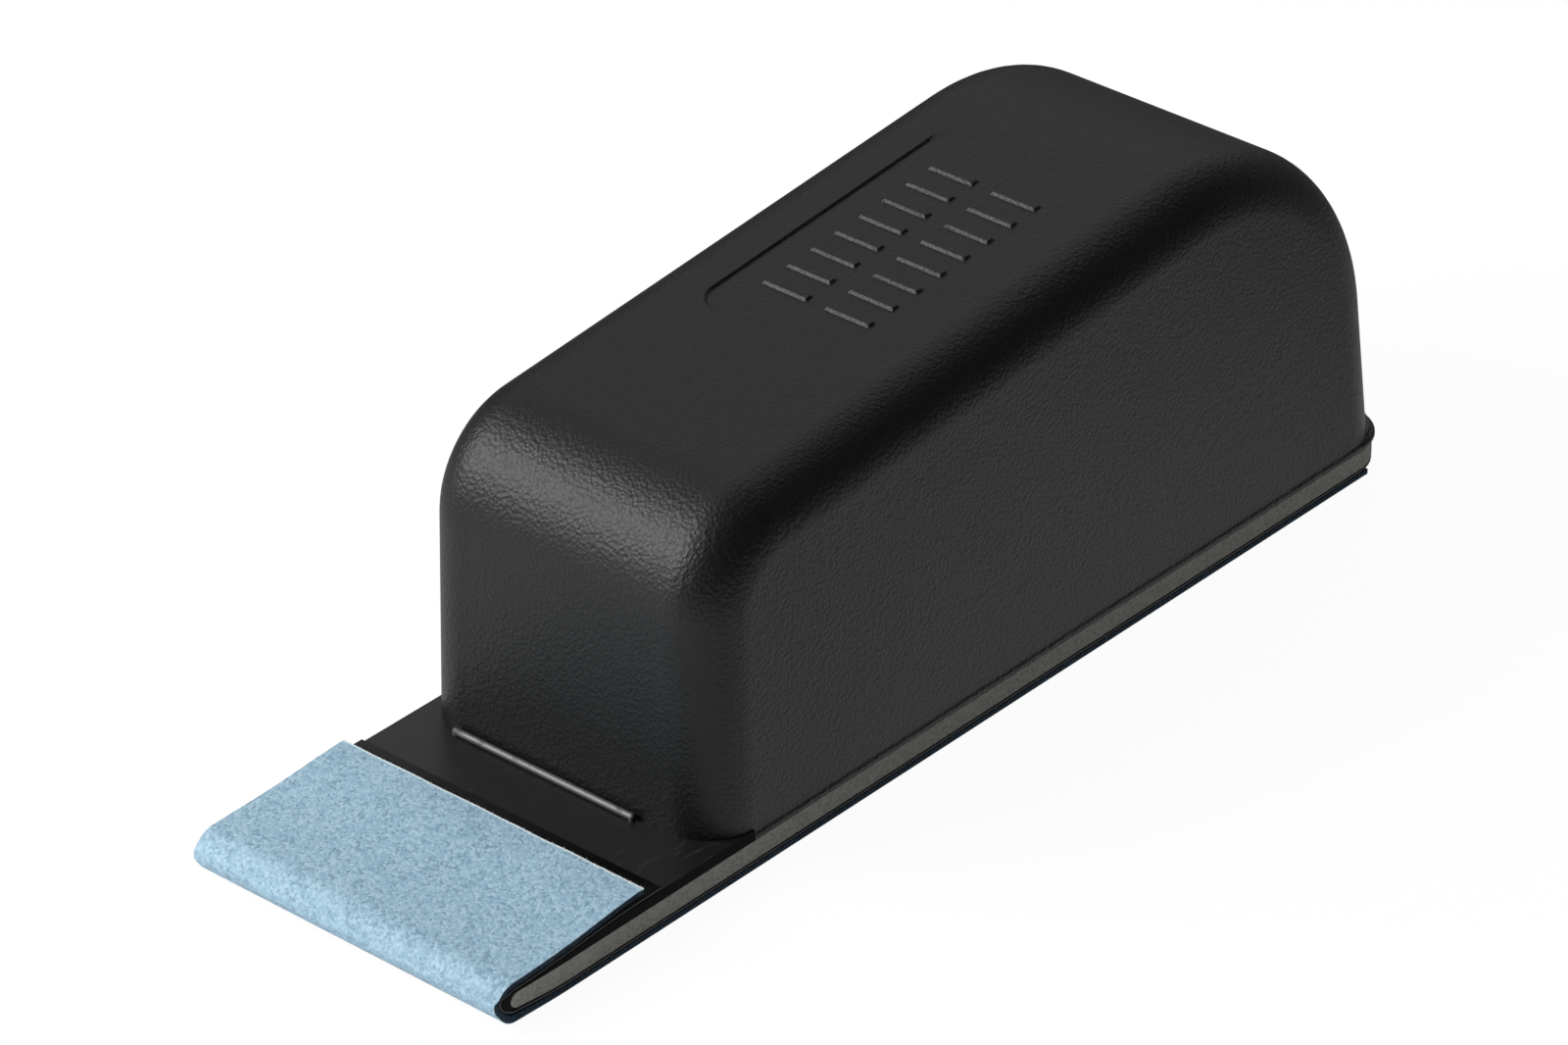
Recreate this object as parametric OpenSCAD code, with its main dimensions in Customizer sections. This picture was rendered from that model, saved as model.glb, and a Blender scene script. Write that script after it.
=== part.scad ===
// Hand sanding block: a tall moulded grip on a laminated sole, with a hook-and-loop
// abrasive strip that runs under the sole, round the nose and back onto the tongue.
// Frame: millimetres, +Z up, nose towards -X, origin in the middle of the base at floor level.

/* [Base] */
// Overall length, nose to heel
base_l = 160.8; // [140:0.2:200]
// Width of the sole and of the strip
base_w = 46; // [40:1:70]
// Radius of the two heel corners
heel_r = 6.5; // [2:0.5:12]
// Thickness of the rigid plate under the grip
plate_t = 1.4; // [1.3:0.1:3]
// Thickness of the soft core layer
core_t = 2.5; // [1.6:0.1:6]
// How far the core's heel end stands in from the skirt's
core_inset = 0.8; // [0:0.1:3]
// Thickness of plate left in front of the core's round nose
nose_wall = 1.2; // [0.8:0.1:2]

/* [Hook pad] */
// Thickness of the hook pad
hook_t = 0.5; // [0.3:0.1:1]
// Length of hook pad on top of the tongue, from the nose tip
hook_tongue_l = 27; // [16:1:30]

/* [Abrasive strip] */
// Thickness of the loop backing
loop_t = 0.4; // [0.3:0.1:1]
// Thickness of the grit coat and its paper
grit_t = 0.3; // [0.2:0.1:1]
// Length of strip on top of the tongue, from the nose tip
strip_tongue_l = 24.2; // [18:0.2:30]
// Length of sole left bare between the strip's tail and the heel
strip_tail_gap = 5.8; // [2:0.2:40]
// Gap between the strip's loops and the hook pad
strip_gap = 0.1; // [0.05:0.05:0.3]

/* [Grip] */
// Length of the tongue, nose tip to the grip's foot
tongue_l = 35.8; // [33:0.2:50]
// How far the skirt stands out behind the grip's rear wall
heel_flare = 1.5; // [0.5:0.1:4]
// How far the skirt stands out beside the grip's side walls
side_flare = 0.2; // [0.1:0.1:4]
// Height above the plate where the top's line meets the front wall's
front_h = 39.2; // [30:0.5:50]
// Height above the plate where the top's line meets the rear wall's
rear_h = 49.7; // [40:0.5:60]
// How far the front wall leans back over its height
front_lean = 0.6; // [0:0.1:6]
// How far the rear wall leans forward over its height
rear_lean = 5.6; // [0:0.2:12]
// How far each side wall leans in over its height
side_draft = 1.1; // [0:0.1:3]
// Radius between the front wall and the top
front_r = 14; // [9:0.5:20]
// Radius between the top and the rear wall
rear_r = 31.5; // [9:0.5:36]
// Radius of the top's long edges and of the upright corners
edge_r = 6.8; // [4:0.1:8]
// Wall of the moulding
wall_t = 2.2; // [1.6:0.1:3]
// Height of the skirt's slope above its lip
skirt_h = 0.8; // [0.4:0.1:4]
// Height of the straight lip at the bottom of the skirt
skirt_lip = 0.3; // [0.2:0.1:1]
// Thickness of the skirt where it laps over the plate's rim
lap_t = 0.7; // [0.5:0.1:1]
// Clearance between the lap and the plate's rim
lap_clear = 0.05; // [0.02:0.01:0.1]
// Gap between the lap's edge and the core layer
lap_gap = 0.1; // [0.05:0.05:0.4]

/* [Label field] */
// Length of the plain recessed field on top
field_l = 46; // [20:1:60]
// Width of the field
field_w = 24; // [12:1:30]
// Corner radius of the field
field_r = 3.5; // [1:0.5:6]
// Depth of the field
field_d = 0.3; // [0.2:0.1:0.8]
// Distance from the grip's front foot to the middle of the field
field_pos = 59; // [45:1:75]
// Number of thumb bars in each row
bar_count = 8; // [3:1:12]
// Spacing of the bars
bar_pitch = 4.2; // [2.5:0.1:6]
// Width of each bar
bar_w = 1.4; // [0.8:0.1:2.2]
// Length of each bar
bar_l = 7; // [3:0.5:9]
// Gap between the two rows of bars
bar_gap = 2.4; // [1:0.2:4]

/* [Ribs and screws] */
// Thickness of the inner ribs
rib_t = 1.6; // [1:0.1:3]
// Height of air under the ribs
rib_clear = 1; // [0.5:0.5:5]
// Lengthwise spacing of the screws
screw_dx = 80; // [50:1:100]
// Crosswise spacing of the screws
screw_dy = 26; // [16:1:30]
// Diameter of the screw thread
screw_d = 3; // [2.5:0.1:4]
// Diameter of the screw head
screw_head_d = 5.4; // [4.5:0.1:5.5]
// Length of the screws
screw_l = 14; // [8:1:20]
// Diameter of the screw bosses
boss_d = 7.5; // [6.5:0.1:10]
// Radial clearance round the screws
screw_clear = 0.05; // [0.02:0.01:0.1]
// Width across the flats of the driver recess
drive_af = 2; // [1.5:0.1:2.4]
// Depth of the driver recess
drive_d = 0.9; // [0.5:0.1:1.2]

/* [Foot wire] */
// Diameter of the wire
wire_d = 0.9; // [0.6:0.1:1.2]
// Length of the wire's straight run
wire_l = 28; // [16:1:34]
// Sideways place of the wire's middle
wire_y = 2.4; // [-4:0.2:4]
// Gap between the wire and the grip's foot
wire_gap = 0.2; // [0.1:0.1:0.6]
// Radial clearance of the wire's legs in the plate
wire_clear = 0.05; // [0.02:0.01:0.1]
// Thickness of plate left under the wire's legs
wire_floor = 0.3; // [0.2:0.1:0.6]

/* [Hidden] */

$fn = 64;
hull_fn = 32;      // facets of the rounded corners on the outside
hollow_fn = 20;    // facets of the rounded corners of the hollow
cut = 1;           // how far a cutter runs past the face that it cuts
skin = 0.01;       // thin slab that a hull starts from
sink = 0.5;        // how far the skirt's slope runs on into the grip's wall
arc_steps = 6;     // balls along each of the grip's two big fillets

nose_x = -base_l / 2;
heel_x = base_l / 2;

// Radii of the layers round the nose, counted outwards from the plate
strip_t = loop_t + grit_t;
plate_r = (core_t + plate_t) / 2;
hook_r = plate_r + hook_t;
loop_in_r = hook_r + strip_gap;
grit_in_r = loop_in_r + loop_t;
nose_r = grit_in_r + grit_t;
axis_x = nose_x + nose_r;
axis_z = nose_r;

// Heights of the layers under the grip
hook_z = strip_t + strip_gap;
core_z = hook_z + hook_t;
plate_z = core_z + core_t;
top_z = plate_z + plate_t;

// Strip
flap_x = nose_x + strip_tongue_l;
tail_x = heel_x - strip_tail_gap;

// Round nose of the core, behind the plate's rolled lip
core_nose_r = core_t / 2;
core_nose_z = core_z + core_nose_r;
core_nose_x = axis_x - sqrt(plate_r * plate_r - pow(axis_z - core_nose_z, 2))
            + nose_wall + core_nose_r;

// Grip: foot, and the sharp corners of its side profile before rounding
foot_x0 = nose_x + tongue_l;
foot_x1 = heel_x - heel_flare;
foot_hw = base_w / 2 - side_flare;
front_foot = [foot_x0, top_z];
front_top = [foot_x0 + front_lean, top_z + front_h];
rear_top = [foot_x1 - rear_lean, top_z + rear_h];
rear_foot = [foot_x1, top_z];
slope = atan2(rear_top[1] - front_top[1], rear_top[0] - front_top[0]);

// The skirt laps over the plate's rim from behind the grip's front corners to the heel
lap_x = foot_x0 + edge_r;
lap_z = plate_z + lap_gap;

// Screws stand on two lines across the middle of the grip
grip_mid_x = (foot_x0 + foot_x1) / 2;
screw_xs = [grip_mid_x - screw_dx / 2, grip_mid_x + screw_dx / 2];
screw_ys = [-screw_dy / 2, screw_dy / 2];
screw_sink = (screw_head_d - screw_d) / 2;

// Wire
wire_x = foot_x0 - wire_gap - wire_d / 2;
wire_z = top_z + wire_d / 2;

// Point on the line of the top, at a distance x from the grip's front foot
function top_at(x) = front_top[1] + (x - front_lean) * tan(slope);

function unit(v) = v / norm(v);

// Centre of a fillet of radius r in the corner b between a and c
function fillet_centre(a, b, c, r) =
    let (u = unit(a - b), v = unit(c - b), half = acos(u * v) / 2)
    b + unit(u + v) * r / sin(half);

// Ball centres along a fillet: from the wall a-b to the line b-c, for balls of radius ball
function fillet_balls(a, b, c, r, ball) =
    let (m = fillet_centre(a, b, c, r),
         n0 = [a[1] - b[1], b[0] - a[0]],
         n1 = [b[1] - c[1], c[0] - b[0]],
         start = atan2(n0[1], n0[0]),
         end = atan2(n1[1], n1[0]),
         turn = (start - end + 360) % 360)
    [for (i = [0 : arc_steps])
        let (ang = start - turn * i / arc_steps)
        m + (r - ball) * [cos(ang), sin(ang)]];

grip_balls = concat(
    fillet_balls(front_foot, front_top, rear_top, front_r, edge_r),
    fillet_balls(front_top, rear_top, rear_foot, rear_r, edge_r));

// Half width of the grip at a height, where its sides lean in
function half_w(z) = foot_hw - side_draft * (z - top_z) / rear_h;

// Rounded rectangle that starts at x0, centred on y = 0
module plan(x0, x1, w, r) {
    translate([x0, 0])
        hull()
            for (x = [r, x1 - x0 - r], y = [r - w / 2, w / 2 - r])
                translate([x, y])
                    circle(r = r, $fn = hull_fn);
}

// Flat layer, w wide, with a square nose end and two heel corners of radius r
module layer(x0, x1, w, r, z, t) {
    translate([0, 0, z])
        linear_extrude(t)
            union() {
                translate([x0, -w / 2])
                    square([x1 - r - x0, w]);
                translate([x1 - r - cut, r - w / 2])
                    square([r + cut, w - 2 * r]);
                for (y = [r - w / 2, w / 2 - r])
                    translate([x1 - r, y])
                        circle(r = r);
            }
}

// Strip of a given width that stands across the sole, from a side profile in x and z
module across(w) {
    rotate([90, 0, 0])
        translate([0, 0, -w / 2])
            linear_extrude(w)
                children();
}

// Half ring on the nose's front side, between two radii
module nose_ring(r0, r1, w) {
    across(w)
        translate([axis_x, axis_z])
            difference() {
                circle(r = r1);
                circle(r = r0);
                translate([0, -r1 - cut])
                    square([r1 + cut, 2 * (r1 + cut)]);
            }
}

// Flat leg of a wrapped layer on top of the tongue
module tongue_leg(r0, r1, x1) {
    translate([axis_x, -base_w / 2, axis_z + r0])
        cube([x1 - axis_x, base_w, r1 - r0]);
}

// The grip's rounded form, drawn in by inset and run down by drop below its foot
module grip_form(inset, drop, facets) {
    hull() {
        for (b = grip_balls, side = [-1, 1])
            translate([b[0], side * (half_w(b[1]) - edge_r), b[1]])
                sphere(r = edge_r - inset, $fn = facets);
        for (x = [foot_x0 + edge_r, foot_x1 - edge_r], side = [-1, 1])
            translate([x, side * (foot_hw - edge_r), top_z - drop])
                cylinder(r = edge_r - inset, h = skin, $fn = facets);
    }
}

// Skirt that stands out at the sides and the heel, from a lip up to a slope into the wall
module grip_skirt() {
    hull() {
        translate([0, 0, lap_z])
            linear_extrude(skirt_lip)
                plan(foot_x0 + sink, heel_x, base_w, edge_r);
        translate([0, 0, lap_z + skirt_lip + skirt_h])
            linear_extrude(skin)
                plan(foot_x0 + 2 * sink, foot_x1 - sink, 2 * (foot_hw - sink), edge_r);
    }
}

// Room for the plate below the grip: its bed within the lap, and its tongue in front
module plate_room() {
    translate([0, 0, lap_z - cut])
        linear_extrude(top_z - lap_z + cut)
            union() {
                plan(foot_x0 - cut, heel_x - lap_t, base_w - 2 * lap_t, edge_r - lap_t);
                translate([nose_x, -base_w])
                    square([lap_x + lap_clear - nose_x, 2 * base_w]);
            }
}

// Puts its children on the sloping top, at a distance from the grip's front foot
module on_top(pos) {
    translate([foot_x0 + pos, 0, top_at(pos)])
        rotate([0, -slope, 0])
            children();
}

// Recess on top, with two rows of thumb bars left standing in it
module label_recess() {
    on_top(field_pos)
        difference() {
            translate([-field_l / 2, 0, -field_d])
                linear_extrude(field_d + cut)
                    plan(0, field_l, field_w, field_r);
            for (i = [0 : bar_count - 1], side = [-1, 1])
                translate([(i - (bar_count - 1) / 2) * bar_pitch,
                           side * (bar_l + bar_gap) / 2, 0])
                    cube([bar_w, bar_l, 4 * cut], center = true);
        }
}

// Two cross ribs, each with two screw bosses on it
module rib_frame() {
    for (x = screw_xs) {
        translate([x - rib_t / 2, -base_w / 2, top_z + rib_clear])
            cube([rib_t, base_w, rear_h]);
        for (y = screw_ys)
            translate([x, y, top_z])
                cylinder(d = boss_d, h = rear_h);
    }
}

module screw_bores() {
    for (x = screw_xs, y = screw_ys)
        translate([x, y, top_z - cut])
            cylinder(r = screw_d / 2 + screw_clear, h = screw_l + cut);
}

module grip_shell() {
    color("#2d2d2d")
        difference() {
            union() {
                difference() {
                    union() {
                        grip_form(0, top_z - lap_z, hull_fn);
                        grip_skirt();
                    }
                    plate_room();
                    grip_form(wall_t, cut, hollow_fn);
                }
                intersection() {
                    grip_form(wall_t / 2, 0, hollow_fn);
                    rib_frame();
                }
            }
            label_recess();
            screw_bores();
        }
}

// Rigid plate: a tongue as wide as the sole, a bed that lies within the grip's skirt,
// and a lip rolled down round the core's nose
module sole_plate() {
    inset = lap_t + lap_clear;
    color("#1b1b1c")
        difference() {
            union() {
                translate([axis_x, -base_w / 2, plate_z])
                    cube([lap_x - axis_x, base_w, plate_t]);
                layer(lap_x - cut, heel_x - inset, base_w - 2 * inset, edge_r - inset,
                      plate_z, plate_t);
                nose_ring(0, plate_r, base_w);
                translate([axis_x - skin, -base_w / 2, core_nose_z])
                    cube([core_nose_x - axis_x, base_w, top_z - core_nose_z]);
            }
            core_form(base_w + 2 * cut);
            for (x = screw_xs, y = screw_ys)
                translate([x, y, plate_z])
                    screw_hole();
            for (side = [-1, 1])
                translate([wire_x, wire_y + side * (wire_l - wire_d) / 2, plate_z + wire_floor])
                    cylinder(r = wire_d / 2 + wire_clear, h = plate_t);
        }
}

// Countersunk hole through the plate
module screw_hole() {
    translate([0, 0, -cut])
        cylinder(r = screw_d / 2 + screw_clear, h = plate_t + 2 * cut);
    translate([0, 0, -screw_clear])
        cylinder(r1 = screw_head_d / 2 + screw_clear, r2 = screw_d / 2 + screw_clear,
                 h = screw_sink + screw_clear);
}

// Core layer's solid, w wide, with its round nose
module core_form(w) {
    across(w)
        union() {
            translate([core_nose_x, core_nose_z])
                circle(r = core_nose_r);
            translate([core_nose_x, core_z])
                square([heel_x - heel_r - core_nose_x, core_t]);
        }
}

module core_layer() {
    color("#6d6b66")
        union() {
            core_form(base_w);
            layer(core_nose_x + core_t, heel_x - core_inset, base_w, heel_r, core_z, core_t);
        }
}

// Hook pad: under the sole, round the nose and onto the tongue, in one piece
module hook_pad() {
    color("#141519")
        union() {
            layer(axis_x, heel_x - core_inset, base_w, heel_r, hook_z, hook_t);
            nose_ring(plate_r, hook_r, base_w);
            tongue_leg(plate_r, hook_r, nose_x + hook_tongue_l);
        }
}

// Steel wire at the foot of the grip, with its two ends turned down into the plate
module foot_wire() {
    half = (wire_l - wire_d) / 2;
    leg = wire_z - plate_z - wire_floor - wire_clear;
    color("silver")
        translate([wire_x, wire_y, wire_z])
            union() {
                rotate([90, 0, 0])
                    cylinder(d = wire_d, h = 2 * half, center = true);
                for (side = [-1, 1])
                    translate([0, side * half, 0]) {
                        sphere(d = wire_d);
                        translate([0, 0, -leg])
                            cylinder(d = wire_d, h = leg);
                    }
            }
}

// Countersunk screws, driven up through the plate into the grip's bosses
module grip_screws() {
    color("silver")
        for (x = screw_xs, y = screw_ys)
            translate([x, y, plate_z])
                difference() {
                    union() {
                        cylinder(d1 = screw_head_d, d2 = screw_d, h = screw_sink);
                        cylinder(d = screw_d, h = screw_l);
                    }
                    translate([0, 0, -cut])
                        cylinder(d = drive_af / cos(30), h = drive_d + cut, $fn = 6);
                }
}

// Flat leg of the strip under the sole
module sole_leg(z, t) {
    translate([axis_x, -base_w / 2, z])
        cube([tail_x - axis_x, base_w, t]);
}

module loop_sole() {
    color("#22344a") sole_leg(grit_t, loop_t);
}

module loop_nose() {
    color("#22344a") nose_ring(loop_in_r, grit_in_r, base_w);
}

module loop_flap() {
    color("#22344a") tongue_leg(loop_in_r, grit_in_r, flap_x);
}

module grit_sole() {
    color("#9bb6c9") sole_leg(0, grit_t);
}

module grit_nose() {
    color("#9bb6c9") nose_ring(grit_in_r, nose_r, base_w);
}

module grit_flap() {
    color("#9bb6c9") tongue_leg(grit_in_r, nose_r, flap_x);
}

grip_shell();
sole_plate();
core_layer();
hook_pad();
foot_wire();
grip_screws();
loop_sole();
loop_nose();
loop_flap();
grit_sole();
grit_nose();
grit_flap();
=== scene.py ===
"""Dress of a hand sanding block: a moulded grip on a laminated sole, with a hook-and-loop abrasive strip.

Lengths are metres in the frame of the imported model: nose towards -X, +Z up, origin under the middle of the
base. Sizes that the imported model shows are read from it, and the rest are properties below.
"""

import math
import random

import bmesh
import bpy
from mathutils import Matrix, Vector, noise


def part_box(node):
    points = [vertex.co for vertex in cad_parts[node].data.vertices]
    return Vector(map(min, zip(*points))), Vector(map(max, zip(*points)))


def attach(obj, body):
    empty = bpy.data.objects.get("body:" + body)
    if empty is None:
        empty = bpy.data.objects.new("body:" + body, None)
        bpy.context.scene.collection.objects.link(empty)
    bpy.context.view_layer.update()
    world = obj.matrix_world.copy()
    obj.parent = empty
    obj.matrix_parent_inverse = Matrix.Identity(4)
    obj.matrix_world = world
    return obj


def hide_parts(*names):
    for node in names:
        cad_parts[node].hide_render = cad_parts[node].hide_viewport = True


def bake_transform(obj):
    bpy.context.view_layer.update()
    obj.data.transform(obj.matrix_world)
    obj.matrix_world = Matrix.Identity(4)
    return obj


bl_info = {
    "name": "Hand Sanding Block",
    "version": (1, 0, 0),
    "blender": (4, 5, 0),
    "location": "View3D > Sidebar > Sanding Block",
    "description": "Builds the grip, laminated sole, hook pad and abrasive strip of a sanding block",
    "category": "Object",
}

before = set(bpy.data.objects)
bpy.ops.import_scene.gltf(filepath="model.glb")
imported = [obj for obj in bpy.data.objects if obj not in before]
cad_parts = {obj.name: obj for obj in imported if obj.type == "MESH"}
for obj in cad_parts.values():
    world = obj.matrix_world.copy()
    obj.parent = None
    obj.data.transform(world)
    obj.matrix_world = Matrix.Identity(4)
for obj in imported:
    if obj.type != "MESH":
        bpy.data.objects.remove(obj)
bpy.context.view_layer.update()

MM = 0.001
ACROSS = Vector((0.0, 1.0, 0.0))
SIDES = (-1.0, 1.0)
SAME = 1e-6         # two points nearer than this are at the same place
MARGIN = 5 * MM     # how far a cutter runs past what it cuts

# Places of the layers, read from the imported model
PLATE_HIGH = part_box("sole_plate")[1]
CORE_LOW, CORE_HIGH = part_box("core_layer")
GRIP_LOW, GRIP_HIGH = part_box("grip_shell")
HOOK_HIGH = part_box("hook_pad")[1]
NOSE_LOW, NOSE_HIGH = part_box("grit_nose")
FLAP_LOW, FLAP_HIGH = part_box("loop_flap")
SOLE_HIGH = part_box("grit_sole")[1]
HALF_WIDTH = PLATE_HIGH.y
PLATE_TOP = PLATE_HIGH.z
LAP_LOW = GRIP_LOW.z
STRIP_TAIL = SOLE_HIGH.x
STRIP_END = FLAP_HIGH.x

# Every layer turns round one axis across the nose, at its own radius
NOSE_AXIS = Vector((NOSE_HIGH.x, 0.0, (NOSE_LOW.z + NOSE_HIGH.z) / 2))
GRIT_RADIUS = NOSE_AXIS.z - NOSE_LOW.z
LOOP_RADIUS = FLAP_HIGH.z - NOSE_AXIS.z
LOOP_INNER_RADIUS = FLAP_LOW.z - NOSE_AXIS.z
HOOK_RADIUS = HOOK_HIGH.z - NOSE_AXIS.z
PLATE_RADIUS = PLATE_HIGH.z - NOSE_AXIS.z


def a_length(name, millimetres, description):
    """A length that a user can change."""
    return bpy.props.FloatProperty(
        name=name, description=description, default=millimetres * MM, unit="LENGTH", precision=5)


def a_share(name, default, description):
    """A share from 0 to 1 that a user can change."""
    return bpy.props.FloatProperty(
        name=name, description=description, default=default, subtype="FACTOR", min=0.0, max=1.0)


def a_brightness(name, default, description):
    """A brightness that a user can change, where plain white is 1."""
    return bpy.props.FloatProperty(name=name, description=description, default=default, min=0.0)


def an_angle(name, degrees, description):
    """An angle that a user can change."""
    return bpy.props.FloatProperty(
        name=name, description=description, default=math.radians(degrees), subtype="ANGLE")


def a_colour(name, default, description):
    """A linear colour that a user can change."""
    return bpy.props.FloatVectorProperty(
        name=name, description=description, default=default, subtype="COLOR", min=0.0, max=1.0)


class GripSettings(bpy.types.PropertyGroup):
    """Sizes of the moulded grip."""

    front_height: a_length("Front height", 39.2,
                           "Height above the plate where the top's line meets the front wall's")
    rear_height: a_length("Rear height", 49.7,
                          "Height above the plate where the top's line meets the rear wall's")
    front_lean: a_length("Front lean", 0.6, "How far the front wall leans back over its height")
    rear_lean: a_length("Rear lean", 5.6, "How far the rear wall leans forward over its height")
    side_draft: a_length("Side draft", 1.1, "How far each side wall leans in over the rear height")
    front_radius: a_length("Front radius", 14.0, "Radius between the front wall and the top")
    rear_radius: a_length("Rear radius", 31.5, "Radius between the top and the rear wall")
    edge_radius: a_length("Edge radius", 6.8, "Radius of the long top edges and of the upright corners")
    wall: a_length("Wall", 2.2, "Thickness of the moulding")
    side_flare: a_length("Side flare", 0.2, "How far the skirt stands out beside the side walls")
    heel_flare: a_length("Heel flare", 1.5, "How far the skirt stands out behind the rear wall")
    skirt_height: a_length("Skirt height", 0.6, "Height of the skirt's slope above its lip")
    skirt_lip: a_length("Skirt lip", 0.3, "Height of the straight lip at the bottom of the skirt")
    lap: a_length("Lap", 0.7, "Thickness of the skirt where it laps over the rim of the plate")
    field_length: a_length("Field length", 46.0, "Length of the plain recessed field on top")
    field_width: a_length("Field width", 24.0, "Width of the recessed field")
    field_radius: a_length("Field corner radius", 3.5, "Radius of the corners of the recessed field")
    field_depth: a_length("Field depth", 0.3, "Depth of the recessed field")
    field_slope: a_length("Field slope", 0.30,
                          "Width of the slope round the recessed field and each thumb bar")
    field_run_out: a_length("Field run-out", 0.8, "Extra width of the slope at the rear end of the field")
    field_place: a_length("Field place", 59.0,
                          "Distance from the foot of the front wall to the middle of the field")
    bar_count: bpy.props.IntProperty(
        name="Thumb bars", description="Number of thumb bars in each of the two rows",
        default=8, min=1)
    bar_pitch: a_length("Bar pitch", 4.2, "Spacing of the thumb bars")
    bar_width: a_length("Bar width", 1.4, "Width of one thumb bar")
    bar_length: a_length("Bar length", 7.0, "Length of one thumb bar, across the grip")
    bar_gap: a_length("Bar gap", 2.4, "Gap between the two rows of thumb bars")
    edge_break: a_length("Edge break", 0.12, "Small radius on the sharp edges of the moulding")


class SoleSettings(bpy.types.PropertyGroup):
    """Sizes of the hook pad, of the sole's edges and of the tuck at its nose."""

    edge_break: a_length("Edge break", 0.18, "Small radius on the edges of the plate and the core")
    heel_radius: a_length("Heel radius", 6.5, "Radius of the two heel corners of the hook pad")
    tongue_reach: a_length("Tongue reach", 27.0, "Length of hook pad on top of the tongue, from the nose tip")
    film: a_length("Hook film", 0.2, "Thickness of the film that carries the hooks")
    hook_pitch: a_length("Hook pitch", 1.2, "Spacing of the mushroom hooks")
    hook_head: a_length("Hook head", 0.56, "Diameter of the head of one hook")
    nose_tuck: a_length("Nose tuck", 0.95,
                        "How far the plate thins and the layers on it sink towards the nose")
    tuck_skew: a_share("Tuck skew", 0.55,
                       "Share of the tuck that is lost from the -Y side to the +Y side")
    nose_rise: a_length("Nose rise", 0.90,
                        "How far the underside of the core's nose lies above the rest of it")
    tuck_start: a_length("Tuck start", 24.0, "Distance from the nose tip at which the plate starts to thin")
    tuck_length: a_length("Tuck length", 20.0, "Length over which the plate thins")
    rise_length: a_length("Rise length", 12.0, "Length over which the core's nose rises, up to the nose tip")


class StripSettings(bpy.types.PropertyGroup):
    """Sizes of the abrasive strip."""

    coat: a_length("Coat", 0.14, "Thickness of the paper with its grit")
    mesh_pitch: a_length("Mesh pitch", 0.9, "Spacing of the points that let the strip wave and lift")
    lift: a_length("End lift", 0.40, "How far the loose end of the strip stands off the tongue")
    lift_length: a_length("Lift length", 12.0, "Length of strip over which its loose end rises")
    wave: a_length("Wave", 0.05, "Height of the slow waves in the paper on the tongue")
    fibre_count: bpy.props.IntProperty(
        name="Fringe fibres", description="Number of fibres along the cut end of the strip",
        default=260, min=1)
    fibre_length: a_length("Fibre length", 0.3, "Longest fibre of the fringe")
    fibre_width: a_length("Fibre width", 0.07, "Width of one fibre of the fringe")


class ColourSettings(bpy.types.PropertyGroup):
    """Colours of the finishes, linear."""

    grip: a_colour("Grip plastic", (0.0045, 0.0045, 0.0046), "Colour of the moulded grip")
    plate: a_colour("Plate plastic", (0.0085, 0.0085, 0.0087), "Colour of the rigid plate")
    core: a_colour("Core foam", (0.172, 0.172, 0.160), "Colour of the soft core layer")
    hooks: a_colour("Hook fabric", (0.010, 0.0105, 0.012), "Colour of the hook pad")
    steel: a_colour("Steel", (0.17, 0.17, 0.166), "Colour of the wire and the screws")
    loops: a_colour("Loop velour", (0.008, 0.018, 0.030), "Colour of the strip's loop backing")
    grit: a_colour("Grit", (0.215, 0.332, 0.422), "Main colour of the abrasive coat")
    grit_light: a_colour("Light grit", (0.283, 0.408, 0.491),
                         "Colour of the pale grains of the abrasive coat")
    grit_dark: a_colour("Dark grit", (0.148, 0.245, 0.318), "Colour of the hollows between the grains")
    fringe: a_colour("Fringe", (0.62, 0.72, 0.76), "Colour of the fibres at the cut end of the strip")
    floor: a_colour("Floor", (0.88, 0.88, 0.88), "Colour of the floor")


class StageSettings(bpy.types.PropertyGroup):
    """Camera, lamps and floor."""

    azimuth: an_angle("Azimuth", -48.29, "Turn of the camera round the block, from a view along +Y")
    elevation: an_angle("Elevation", 31.44, "Height of the camera above the horizon")
    roll: an_angle("Roll", -0.72, "Turn of the camera about its own line of sight")
    distance: a_length("Distance", 841.5, "Distance from the camera to the point that it looks at")
    aim: bpy.props.FloatVectorProperty(
        name="Aim", description="Point that the camera looks at",
        default=(-1.6 * MM, 4.4 * MM, 17.7 * MM), subtype="TRANSLATION", unit="LENGTH")
    lens: bpy.props.FloatProperty(
        name="Lens", description="Focal length on a 36 mm sensor, in millimetres",
        default=166.56, unit="CAMERA")
    floor_size: bpy.props.FloatProperty(
        name="Floor size", description="Width of the floor",
        default=12.0, unit="LENGTH")
    floor_white: a_share("Floor white", 0.95, "Share of plain white in the floor as it is seen")
    # Floor gloss, floor left, floor dark and the pool set a painted pool of light on the floor, which only
    # glossy surfaces see.
    floor_gloss: a_brightness("Floor gloss", 0.85,
                              "Brightness of the lit part of the floor as glossy surfaces show it")
    floor_left: a_brightness("Floor left", 1.5,
                             "Brightness of the floor under the key lamp, as a gloss shows it")
    floor_dark: a_brightness("Floor dark", 0.10,
                             "Brightness of the rest of the floor as glossy surfaces show it")
    pool_place: bpy.props.FloatVectorProperty(
        name="Pool place", description="Middle of the lit part of the floor, in front of the block",
        default=(-80.0 * MM, -80.0 * MM, 0.0), subtype="TRANSLATION", unit="LENGTH")
    pool_radius: a_length("Pool radius", 340.0, "Radius of the lit part of the floor")
    fill: a_brightness("Fill", 0.42, "Strength of the even light from all round")
    glow: a_brightness("Glow", 0.22, "Brightness of the room behind the heel, as glossy surfaces show it")
    dome: a_brightness("Dome", 0.04,
                       "Brightness of the dark room round the lamps, as glossy surfaces show it")


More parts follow.
